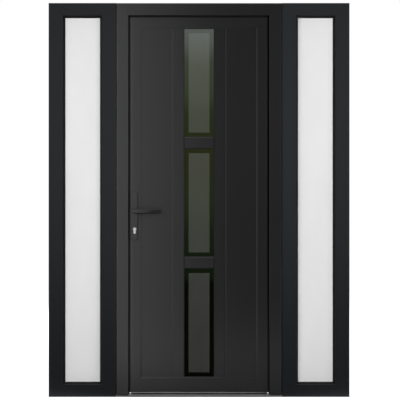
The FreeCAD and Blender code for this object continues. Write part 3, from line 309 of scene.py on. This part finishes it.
def pane_glass(name, seen_low, seen_high, finishes, fittings):
    """Opaque glass that paints the shade of the dark room behind it: a near-black clear edge and a dim milky
    middle, where the milk fades out at the clear edge's width from the seen edges.

    The distance to the nearest edge is the least of half the width less |x|, z less the low edge, and the
    high edge less z. Milk runs from 0 to 1 where that distance passes the clear edge's width. The IOR lies
    above that of one sheet, because both sheets of a sealed unit mirror.
    """
    made, tree, shader = started(name)
    axes = fitted(tree, "ShaderNodeSeparateXYZ")
    join(tree, place(tree), axes.inputs["Vector"])
    across = reckon(tree, "SUBTRACT", seen_high[0], reckon(tree, "ABSOLUTE", axes.outputs["X"]))
    below = reckon(tree, "SUBTRACT", axes.outputs["Z"], seen_low[1])
    above = reckon(tree, "SUBTRACT", seen_high[1], axes.outputs["Z"])
    inside = reckon(tree, "MINIMUM", across, reckon(tree, "MINIMUM", below, above))
    half_blur = fittings.etch_blur / 2.0
    milk = spread(tree, inside, 0.0, 1.0, fittings.clear_edge - half_blur, fittings.clear_edge + half_blur)
    clouds = spread(tree, noise(tree, place(tree, (1.0, 1.0, 0.5)), 9.0, 3.0), 0.0, 1.0)
    # Painted shade: both tones paint the dark room behind the panes; only the clouds are the glass's own random
    # tone.
    middle = blended(tree, clouds, shaded(finishes.milky_glass_painted_room_shade, 0.92), shaded(finishes.milky_glass_painted_room_shade, 1.08))
    join(tree, blended(tree, milk, finishes.clear_glass_painted_room_shade, middle), shader.inputs["Base Color"])
    waves = noise(tree, place(tree, (1.0, 1.0, 0.4)), 5.0, 1.0)
    join(tree, spread(tree, milk, 0.015, 0.09, 0.0, 1.0), shader.inputs["Roughness"])
    shader.inputs["IOR"].default_value = 2.1
    grained(tree, shader, waves, 0.25, 0.4 * MM)
    return made


def plain_rubber(name, base):
    """Matt black rubber with a faint bloom."""
    made, tree, shader = started(name)
    bloom = noise(tree, place(tree), 35.0, 4.0)
    join(tree, blended(tree, spread(tree, bloom, 0.0, 1.0), shaded(base, 0.8), shaded(base, 1.35)),
         shader.inputs["Base Color"])
    join(tree, spread(tree, bloom, 0.62, 0.78), shader.inputs["Roughness"])
    shader.inputs["Specular IOR Level"].default_value = 0.3
    grained(tree, shader, noise(tree, place(tree), 900.0), 0.2, 0.03 * MM)
    return made


def moulded_plastic(name, base):
    """Plain moulded plastic with a fine tooth."""
    made, tree, shader = started(name)
    flow = noise(tree, place(tree), 60.0, 3.0)
    join(tree, blended(tree, spread(tree, flow, 0.0, 1.0), shaded(base, 0.9), shaded(base, 1.15)),
         shader.inputs["Base Color"])
    join(tree, spread(tree, flow, 0.48, 0.58), shader.inputs["Roughness"])
    grained(tree, shader, noise(tree, place(tree), 1200.0), 0.15, 0.02 * MM)
    return made


def brushed_metal(name, base, roughness, along):
    """Brushed metal: scratches run along one direction, where the place is stretched least."""
    made, tree, shader = started(name)
    scratches = noise(tree, place(tree, along), 25.0, 5.0, 0.7)
    smears = noise(tree, place(tree), 8.0, 3.0)
    join(tree, blended(tree, spread(tree, scratches, 0.0, 1.0), shaded(base, 0.86), shaded(base, 1.08)),
         shader.inputs["Base Color"])
    join(tree, spread(tree, smears, roughness - 0.06, roughness + 0.06), shader.inputs["Roughness"])
    shader.inputs["Metallic"].default_value = 1.0
    grained(tree, shader, scratches, 0.18, 0.03 * MM)
    return made


def dress(material, *nodes):
    """Gives the material to every slot of the named nodes."""
    for node in nodes:
        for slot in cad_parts[node].material_slots:
            slot.material = material


def surface(name, points, wrap=True):
    """A mesh from a grid of points, counted piece, row, column: each face joins four neighbours.

    Where it wraps, the last column joins the first. Doubled points, as at a pole, are made one.
    """
    pieces, rows, columns = points.shape[:3]
    index = np.arange(pieces * rows * columns).reshape(pieces, rows, columns)
    if wrap:
        index = np.concatenate([index, index[:, :, :1]], axis=2)
    corners = (index[:, :-1, :-1], index[:, :-1, 1:], index[:, 1:, 1:], index[:, 1:, :-1])
    faces = np.stack(corners, axis=-1).reshape(-1, 4)
    mesh = bpy.data.meshes.new(name)
    mesh.from_pydata(points.reshape(-1, 3).tolist(), [], faces.tolist())
    welded = bmesh.new()
    welded.from_mesh(mesh)
    bmesh.ops.remove_doubles(welded, verts=welded.verts, dist=0.001 * MM)
    bmesh.ops.recalc_face_normals(welded, faces=welded.faces)
    welded.to_mesh(mesh)
    welded.free()
    made = bpy.data.objects.new(name, mesh)
    bpy.context.scene.collection.objects.link(made)
    return made


def on_faces(outline, centres, facing):
    """Sets flat outlines on faces: across and up the face, and out along the way it faces.

    outline holds across, up and out for each point; the point is centre + across * side + up * rise + out * facing.
    """
    facing = np.asarray(facing, float)
    rise = np.array((0.0, 0.0, 1.0))
    side = np.cross(rise, facing)
    axes = np.stack([side, rise, facing])
    return np.asarray(centres, float)[:, None, None, :] + (outline @ axes)[None]


def screw_heads(centres, facing, diameter, proud):
    """Low domed screw heads with a six-lobed socket, on the face they sit in.

    Each ring holds its radius and its height, as shares of the head's, and the depth of its lobes. The rings
    go from the middle of the sunk back out to the rim, over the dome, in to the socket's edge, down its wall
    and to its middle. A ring's radius is radius * share * (1 + depth * cos(lobes * angle)).
    """
    radius = diameter / 2.0
    angle = np.linspace(0.0, 2.0 * math.pi, TURN_STEPS, endpoint=False)
    rings = np.array([
        (0.0, -0.40, 0.0), (0.97, -0.40, 0.0), (1.0, 0.10, 0.0), (0.92, 0.48, 0.0), (0.78, 0.80, 0.0),
        (0.62, 0.97, 0.0), (0.46, 1.0, 0.14), (0.42, 0.12, 0.14), (0.0, 0.08, 0.0),
    ])
    lobed = 1.0 + rings[:, 2:3] * np.cos(SOCKET_LOBES * angle)[None]
    reach = radius * rings[:, 0:1] * lobed
    out = np.broadcast_to(proud * rings[:, 1:2], reach.shape)
    outline = np.stack([reach * np.cos(angle), reach * np.sin(angle), out], axis=-1)
    return on_faces(outline, centres, facing)


def end_screw_places(node, facing, inset):
    """A place near each end of an upright plate, in the middle of the face that looks along facing."""
    low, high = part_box(node)
    face = (low + high) / 2.0 + Vector(facing) * abs((high - low).dot(Vector(facing))) / 2.0
    return [(face.x, face.y, z) for z in (low.z + inset, high.z - inset)]


def hinge_screw_places(node, outwards, fittings):
    """Three places on each of a node's three hinge plates, at even heights from the lowest hinge to the highest.

    outwards is 1 where the plates reach from the barrels towards +X, and -1 where they reach towards -X.
    """
    low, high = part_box(node)
    inset = fittings.hinge_screw_inset
    across = high.x - inset if outwards > 0 else low.x + inset
    face = low.y + fittings.hinge_plate
    half = fittings.hinge_height / 2.0
    heights = np.linspace(low.z + half, high.z - half, 3)
    steps = fittings.hinge_screw_pitch * np.array((-1.0, 0.0, 1.0))
    return [(across, face, height + step) for height in heights for step in steps]


def finished(piece, material, body):
    """Smooths a new piece by angle, gives it its material, and lets it ride on its body."""
    piece.data.materials.append(material)
    piece.data.shade_smooth()
    piece.data.set_sharp_from_angle(angle=math.radians(35.0))
    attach(piece, body)


def soften(width, segments, *nodes):
    """Rounds the sharp edges of the named nodes."""
    for node in nodes:
        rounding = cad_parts[node].modifiers.new("rounding", "BEVEL")
        rounding.width = width
        rounding.segments = segments
        rounding.limit_method = "ANGLE"
        rounding.angle_limit = math.radians(30.0)
        rounding.use_clamp_overlap = True


class DOOR_OT_coats(bpy.types.Operator):
    """Coats frame, leaf and sidelights"""

    bl_idname = "door.coats"
    bl_label = "Powder coats"

    def execute(self, context):
        finishes = context.scene.door_finishes
        rounding = context.scene.door_fittings.coat_rounding
        posts = ("frame_jamb_left", "frame_jamb_right", "leaf_lock_stile", "leaf_hinge_stile", "board_left",
                 "board_right")
        bars = ("frame_head", "leaf_top_rail", "leaf_bottom_rail", "glass_bar_lower", "glass_bar_upper")
        upright, level = coats_both_ways("door_coat", finishes.door_coat, finishes.door_roughness, shine=0.5)
        dress(upright, *posts, "leaf_beads")
        dress(level, *bars)
        soften(rounding, 2, *posts, *bars)
        upright, level = coats_both_ways("sidelight_coat", finishes.side_coat, finishes.side_roughness, shine=0.4)
        for stem in ("left_sidelight_", "right_sidelight_"):
            posts = (f"{stem}outer_stile", f"{stem}inner_stile")
            bars = (f"{stem}head_rail", f"{stem}bottom_rail")
            dress(upright, *posts, f"{stem}beads")
            dress(level, *bars)
            soften(rounding, 2, *posts, *bars)
        return {"FINISHED"}


class DOOR_OT_glazing(bpy.types.Operator):
    """Gives the sidelights their satin glass and the leaf its dark panes with a milky middle"""

    bl_idname = "door.glazing"
    bl_label = "Glazing"

    def execute(self, context):
        finishes = context.scene.door_finishes
        fittings = context.scene.door_fittings
        dress(satin_glass("satin_glass", finishes.satin_glass), "left_sidelight_glass", "right_sidelight_glass")
        rail_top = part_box("leaf_bottom_rail")[1].z
        rail_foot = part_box("leaf_top_rail")[0].z
        for node in ("pane_bottom", "pane_middle", "pane_top"):
            low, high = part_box(node)
            seen_low = (low.x, max(low.z, rail_top))
            seen_high = (high.x, min(high.z, rail_foot))
            dress(pane_glass(f"leaf_glass_{node}", seen_low, seen_high, finishes, fittings), node)
        return {"FINISHED"}


class DOOR_OT_seals(bpy.types.Operator):
    """Gives gaskets, seals and packers their rubber and plastic"""

    bl_idname = "door.seals"
    bl_label = "Seals"

    def execute(self, context):
        finishes = context.scene.door_finishes
        dress(plain_rubber("seal_rubber", finishes.rubber), "frame_seal", "bottom_seal", "pane_spacers",
              "left_sidelight_seals", "right_sidelight_seals")
        dress(moulded_plastic("packer_plastic", finishes.packer), "glass_packers")
        return {"FINISHED"}


class DOOR_OT_metals(bpy.types.Operator):
    """Gives sill, lock, handle and hinges their metal finishes"""

    bl_idname = "door.metals"
    bl_label = "Metals"

    def execute(self, context):
        finishes = context.scene.door_finishes
        dress(brushed_metal("sill_aluminium", finishes.sill, roughness=0.36, along=BRUSHED_LEVEL), "threshold")
        dress(brushed_metal("satin_nickel", finishes.nickel, roughness=0.30, along=(30.0, 30.0, 30.0)),
              "lock_cylinder", "lock_bolts", "handle_spindle")
        dress(brushed_metal("brushed_steel", finishes.steel, roughness=0.32, along=BRUSHED_UPRIGHT),
              "lock_edge_plate", "strike_plate")
        dress(powder_coat("hardware_coat", finishes.hardware, roughness=0.36, shine=0.5, along=NO_STREAKS),
              "handle_plate_outer", "handle_plate_inner", "lever_outer", "lever_inner", "hinge_frame_parts",
              "hinge_leaf_parts")
        soften(context.scene.door_fittings.lever_rounding, 3, "lever_outer", "lever_inner")
        return {"FINISHED"}


class DOOR_OT_screws(bpy.types.Operator):
    """Sets the screws in hinges, lock plates and the inner handle plate"""

    bl_idname = "door.screws"
    bl_label = "Screws"

    def execute(self, context):
        fittings = context.scene.door_fittings
        steel = bpy.data.materials["brushed_steel"]
        coat = bpy.data.materials["hardware_coat"]
        inwards = (0.0, 1.0, 0.0)
        for node, body, outwards in (("hinge_frame_parts", "frame", 1), ("hinge_leaf_parts", "leaf", -1)):
            places = hinge_screw_places(node, outwards, fittings)
            heads = screw_heads(places, inwards, fittings.hinge_screw, fittings.screw_dome)
            finished(surface(f"{body}_hinge_screws", heads), coat, body)
        for node, body, facing in (("strike_plate", "frame", (1.0, 0.0, 0.0)),
                                   ("lock_edge_plate", "leaf", (-1.0, 0.0, 0.0))):
            places = end_screw_places(node, facing, fittings.plate_screw_inset)
            heads = screw_heads(places, facing, fittings.plate_screw, fittings.plate_screw_dome)
            finished(surface(f"{node}_screws", heads), steel, body)
        low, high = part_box("handle_plate_inner")
        end_radius = (high.x - low.x) / 2.0
        places = end_screw_places("handle_plate_inner", inwards, end_radius)
        heads = screw_heads(places, inwards, fittings.plate_screw, fittings.screw_dome)
        finished(surface("handle_plate_screws", heads), coat, "leaf")
        return {"FINISHED"}


class DOOR_OT_stage(bpy.types.Operator):
    """Sets the floor, the surroundings, the lamps and the camera"""

    bl_idname = "door.stage"
    bl_label = "Stage"

    def execute(self, context):
        settings = context.scene.door_stage
        light_world(context.scene, settings)
        lay_floor()
        stand_surround(settings)
        stand_view(settings)
        hang_lamps(settings)
        aim_camera(context.scene, settings)
        context.scene.view_settings.view_transform = "Standard"
        return {"FINISHED"}


def seen_rays(tree):
    """1 for rays that look at a thing, straight, in a mirror or through glass, and 0 for rays that light it."""
    path = fitted(tree, "ShaderNodeLightPath")
    mirror = reckon(tree, "MAXIMUM", path.outputs["Is Glossy Ray"], path.outputs["Is Transmission Ray"])
    return reckon(tree, "MAXIMUM", path.outputs["Is Camera Ray"], mirror)


def light_world(scene, settings):
    """A world that looks white and lights at its own plain level."""
    world = bpy.data.worlds.new("plain_world")
    world.use_nodes = True
    tree = world.node_tree
    plain = tree.nodes["Background"]
    plain.inputs["Color"].default_value = (1.0, 1.0, 1.0, 1.0)
    plain.inputs["Strength"].default_value = settings.world_light
    white = fitted(tree, "ShaderNodeBackground")
    white.inputs["Color"].default_value = (1.0, 1.0, 1.0, 1.0)
    white.inputs["Strength"].default_value = 1.0
    mixed = fitted(tree, "ShaderNodeMixShader")
    join(tree, seen_rays(tree), mixed.inputs["Fac"])
    join(tree, plain.outputs["Background"], mixed.inputs[1])
    join(tree, white.outputs["Background"], mixed.inputs[2])
    join(tree, mixed.outputs["Shader"], tree.nodes["World Output"].inputs["Surface"])
    scene.world = world


def lay_floor():
    """A pale floor that looks white and keeps the door's shadow."""
    reach, floor_level, tone, own_light = 7.0, -0.2 * MM, 0.72, 0.72
    side = np.linspace(-reach, reach, 2)
    across, deep = np.meshgrid(side, side)
    points = np.stack([across, deep, np.full_like(across, floor_level)], axis=-1)[None]
    floor = surface("floor", points, wrap=False)
    made, tree, shader = started("pale_floor")
    shader.inputs["Base Color"].default_value = (tone, tone, tone, 1.0)
    shader.inputs["Roughness"].default_value = 0.9
    shader.inputs["Specular IOR Level"].default_value = 0.0
    shader.inputs["Emission Color"].default_value = (1.0, 1.0, 1.0, 1.0)
    lift = spread(tree, seen_rays(tree), 0.0, own_light, 0.0, 1.0)
    join(tree, lift, shader.inputs["Emission Strength"])
    floor.data.materials.append(made)


def stand_surround(settings):
    """A soft dark surround in front of the door, seen in its gloss alone.

    Its section starts near the door as a mat on the floor and turns up into a wall. With t from 0 to 1 the
    distance is near + (far - near) * t, and the height is mat + rise * max(0, (t - bend) / (1 - bend)) ** 2.
    The section is carried round the door's front by the turn, an angle from -half_turn to half_turn. Its
    light grows with the height, from dark up to the low height to pale from the high one.
    """
    near, far, mat, rise, bend, half_turn = 0.04, 12.0, 2.0 * MM, 16.0, 0.76, 84.0
    dark, pale, low, high = 0.02, 0.32, 0.3, 4.5
    step = np.linspace(0.0, 1.0, 41)
    distance = near + (far - near) * step
    height = mat + rise * np.clip((step - bend) / (1.0 - bend), 0.0, None) ** 2
    turn = np.radians(np.linspace(-half_turn, half_turn, 49))
    points = np.stack([
        distance[:, None] * np.sin(turn), -distance[:, None] * np.cos(turn),
        np.broadcast_to(height[:, None], (height.size, turn.size)),
    ], axis=-1)[None]
    surround = surface("surround", points, wrap=False)
    made, tree, _ = started("soft_surround")
    axes = fitted(tree, "ShaderNodeSeparateXYZ")
    join(tree, place(tree), axes.inputs["Vector"])
    level = spread(tree, axes.outputs["Z"], dark, pale, low, high)
    glow = fitted(tree, "ShaderNodeEmission")
    join(tree, reckon(tree, "MULTIPLY", level, settings.surround_glow), glow.inputs["Strength"])
    join(tree, glow.outputs["Emission"], tree.nodes["Material Output"].inputs["Surface"])
    surround.data.materials.append(made)
    seen_in_gloss_alone(surround)
    shines_on(surround, [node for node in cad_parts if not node.startswith("pane_")])


def stand_view(settings):
    """A tall sheet far in front of the door, pale at the top and dark at the foot, for the leaf's panes alone."""
    distance, half_width, top = 8.6, 6.0, 6.5
    side = np.linspace(-half_width, half_width, 2)
    across, up = np.meshgrid(side, np.linspace(0.0, top, 2))
    points = np.stack([across, np.full_like(across, -distance), up], axis=-1)[None]
    view = surface("distant_view", points, wrap=False)
    made, tree, _ = started("distant_view")
    axes = fitted(tree, "ShaderNodeSeparateXYZ")
    join(tree, place(tree), axes.inputs["Vector"])
    ramp = fitted(tree, "ShaderNodeValToRGB")
    join(tree, reckon(tree, "DIVIDE", axes.outputs["Z"], top), ramp.inputs["Fac"])
    stops = ramp.color_ramp.elements
    while len(stops) > 1:
        stops.remove(stops[-1])
    stops[0].position = VIEW_TONES[0][0] / top
    stops[0].color = (*VIEW_TONES[0][1], 1.0)
    for height, tone in VIEW_TONES[1:]:
        stops.new(height / top).color = (*tone, 1.0)
    glow = fitted(tree, "ShaderNodeEmission")
    glow.inputs["Strength"].default_value = settings.view_glow
    join(tree, ramp.outputs["Color"], glow.inputs["Color"])
    clear = fitted(tree, "ShaderNodeBsdfTransparent")
    added = fitted(tree, "ShaderNodeAddShader")
    join(tree, clear.outputs["BSDF"], added.inputs[0])
    join(tree, glow.outputs["Emission"], added.inputs[1])
    join(tree, added.outputs["Shader"], tree.nodes["Material Output"].inputs["Surface"])
    view.data.materials.append(made)
    seen_in_gloss_alone(view)
    shines_on(view, [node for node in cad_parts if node.startswith("pane_")])


def shines_on(source, nodes):
    """Keeps a source of light to the named nodes."""
    shown = bpy.data.collections.new(f"{source.name}_shines_on")
    for node in nodes:
        shown.objects.link(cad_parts[node])
    source.light_linking.receiver_collection = shown


def seen_in_gloss_alone(thing):
    """Hides a thing from all but glossy rays."""
    thing.visible_camera = False
    thing.visible_diffuse = False
    thing.visible_transmission = False
    thing.visible_volume_scatter = False
    thing.visible_shadow = False


def lamp(name, stand, power):
    """A soft lamp on its stand."""
    where, aim, width, height = STANDS[stand]
    light = bpy.data.lights.new(name, "AREA")
    light.shape = "RECTANGLE"
    light.size = width
    light.size_y = height
    light.energy = power
    made = bpy.data.objects.new(name, light)
    bpy.context.scene.collection.objects.link(made)
    made.location = where
    made.rotation_euler = (Vector(aim) - Vector(where)).to_track_quat("-Z", "Y").to_euler()
    return made


def hang_lamps(settings):
    """Three lamps that light without a reflection, and the lamps that only the gloss of their nodes shows.

    A lamp below the floor shines through it: only the nodes that it lights can block it.
    """
    for name, stand, power in (
        ("key_lamp", "front_left", settings.key_light),
        ("fill_lamp", "front_right", settings.fill_light),
        ("back_lamp", "behind", settings.back_light),
    ):
        lamp(name, stand, power).visible_glossy = False
    sidelights = [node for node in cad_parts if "sidelight" in node]
    bare = ["lock_cylinder", "threshold"]
    door = [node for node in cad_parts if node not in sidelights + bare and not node.startswith("pane_")]
    leverless = [node for node in door if node != "lever_outer"]
    right = ["leaf_hinge_stile", "frame_jamb_right", "board_right"]
    left = [node for node in leverless if node not in right]
    for name, stand, power, nodes in (
        ("side_strip", "before_lock", settings.side_strip, left),
        ("inner_strip", "before_board", settings.inner_strip, leverless),
        ("low_strip", "low", settings.low_strip, door),
        ("tall_sheet", "whole_front", settings.tall_sheet, sidelights),
        ("right_strip", "before_lock", settings.right_strip, right),
        ("edge_strip", "far_left", settings.edge_strip, ["frame_jamb_left"]),
        ("gap_strip", "far_left", settings.gap_strip, ["frame_jamb_right"]),
        ("far_edge_strip", "far_right", settings.far_edge_strip,
         ["frame_jamb_right", "left_sidelight_inner_stile"]),
        ("foot_sheet", "under_leaf", settings.foot_sheet, ["leaf_bottom_rail"]),
        ("sill_sheet", "over_sill", settings.sill_sheet, ["threshold"]),
        ("ridge_strip", "before_hinges", settings.ridge_strip, ["leaf_lock_stile", "board_left"]),
        ("lever_lamp", "before_lever", settings.lever_light, ["lever_outer"]),
        ("metal_lamp", "front_aimed_low", settings.metal_light, bare),
    ):
        made = lamp(name, stand, power)
        seen_in_gloss_alone(made)
        shines_on(made, nodes)
        if made.location.z < 0.0:
            made.light_linking.blocker_collection = made.light_linking.receiver_collection


def aim_camera(scene, settings):
    """The camera straight in front, so far off that the door shows almost without perspective."""
    sensor = 36.0
    data = bpy.data.cameras.new("front_camera")
    data.sensor_width = sensor
    data.lens = sensor * settings.camera_distance / settings.picture_width
    data.clip_end = 60.0
    camera = bpy.data.objects.new("front_camera", data)
    scene.collection.objects.link(camera)
    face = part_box("frame_head")[0].y
    camera.location = (settings.camera_side, face - settings.camera_distance, settings.camera_height)
    camera.rotation_euler = (math.pi / 2.0, 0.0, 0.0)
    scene.camera = camera


class DOOR_PT_panel(bpy.types.Panel):
    """Lists the door's operators and settings"""

    bl_idname = "DOOR_PT_panel"
    bl_label = "Door with sidelights"
    bl_space_type = "VIEW_3D"
    bl_region_type = "UI"
    bl_category = "Door"

    def draw(self, context):
        for operator in OPERATORS:
            self.layout.operator(operator.bl_idname)
        for name in SETTINGS:
            box = self.layout.box()
            group = getattr(context.scene, name)
            for setting in group.__annotations__:
                box.prop(group, setting)


SETTINGS = {"door_finishes": DoorFinishes, "door_fittings": DoorFittings, "door_stage": DoorStage}
OPERATORS = (DOOR_OT_coats, DOOR_OT_glazing, DOOR_OT_seals, DOOR_OT_metals, DOOR_OT_screws, DOOR_OT_stage)
CLASSES = (*SETTINGS.values(), *OPERATORS, DOOR_PT_panel)


def register():
    """Adds the classes, and the settings to every scene."""
    for made in CLASSES:
        bpy.utils.register_class(made)
    for name, group in SETTINGS.items():
        setattr(bpy.types.Scene, name, PointerProperty(type=group))


def unregister():
    """Takes the settings and the classes away again."""
    for name in SETTINGS:
        delattr(bpy.types.Scene, name)
    for made in reversed(CLASSES):
        bpy.utils.unregister_class(made)


def main():
    register()
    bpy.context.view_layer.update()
    bpy.ops.door.coats()
    bpy.ops.door.glazing()
    bpy.ops.door.seals()
    bpy.ops.door.metals()
    bpy.ops.door.screws()
    bpy.ops.door.stage()


if __name__ == "__main__":
    main()
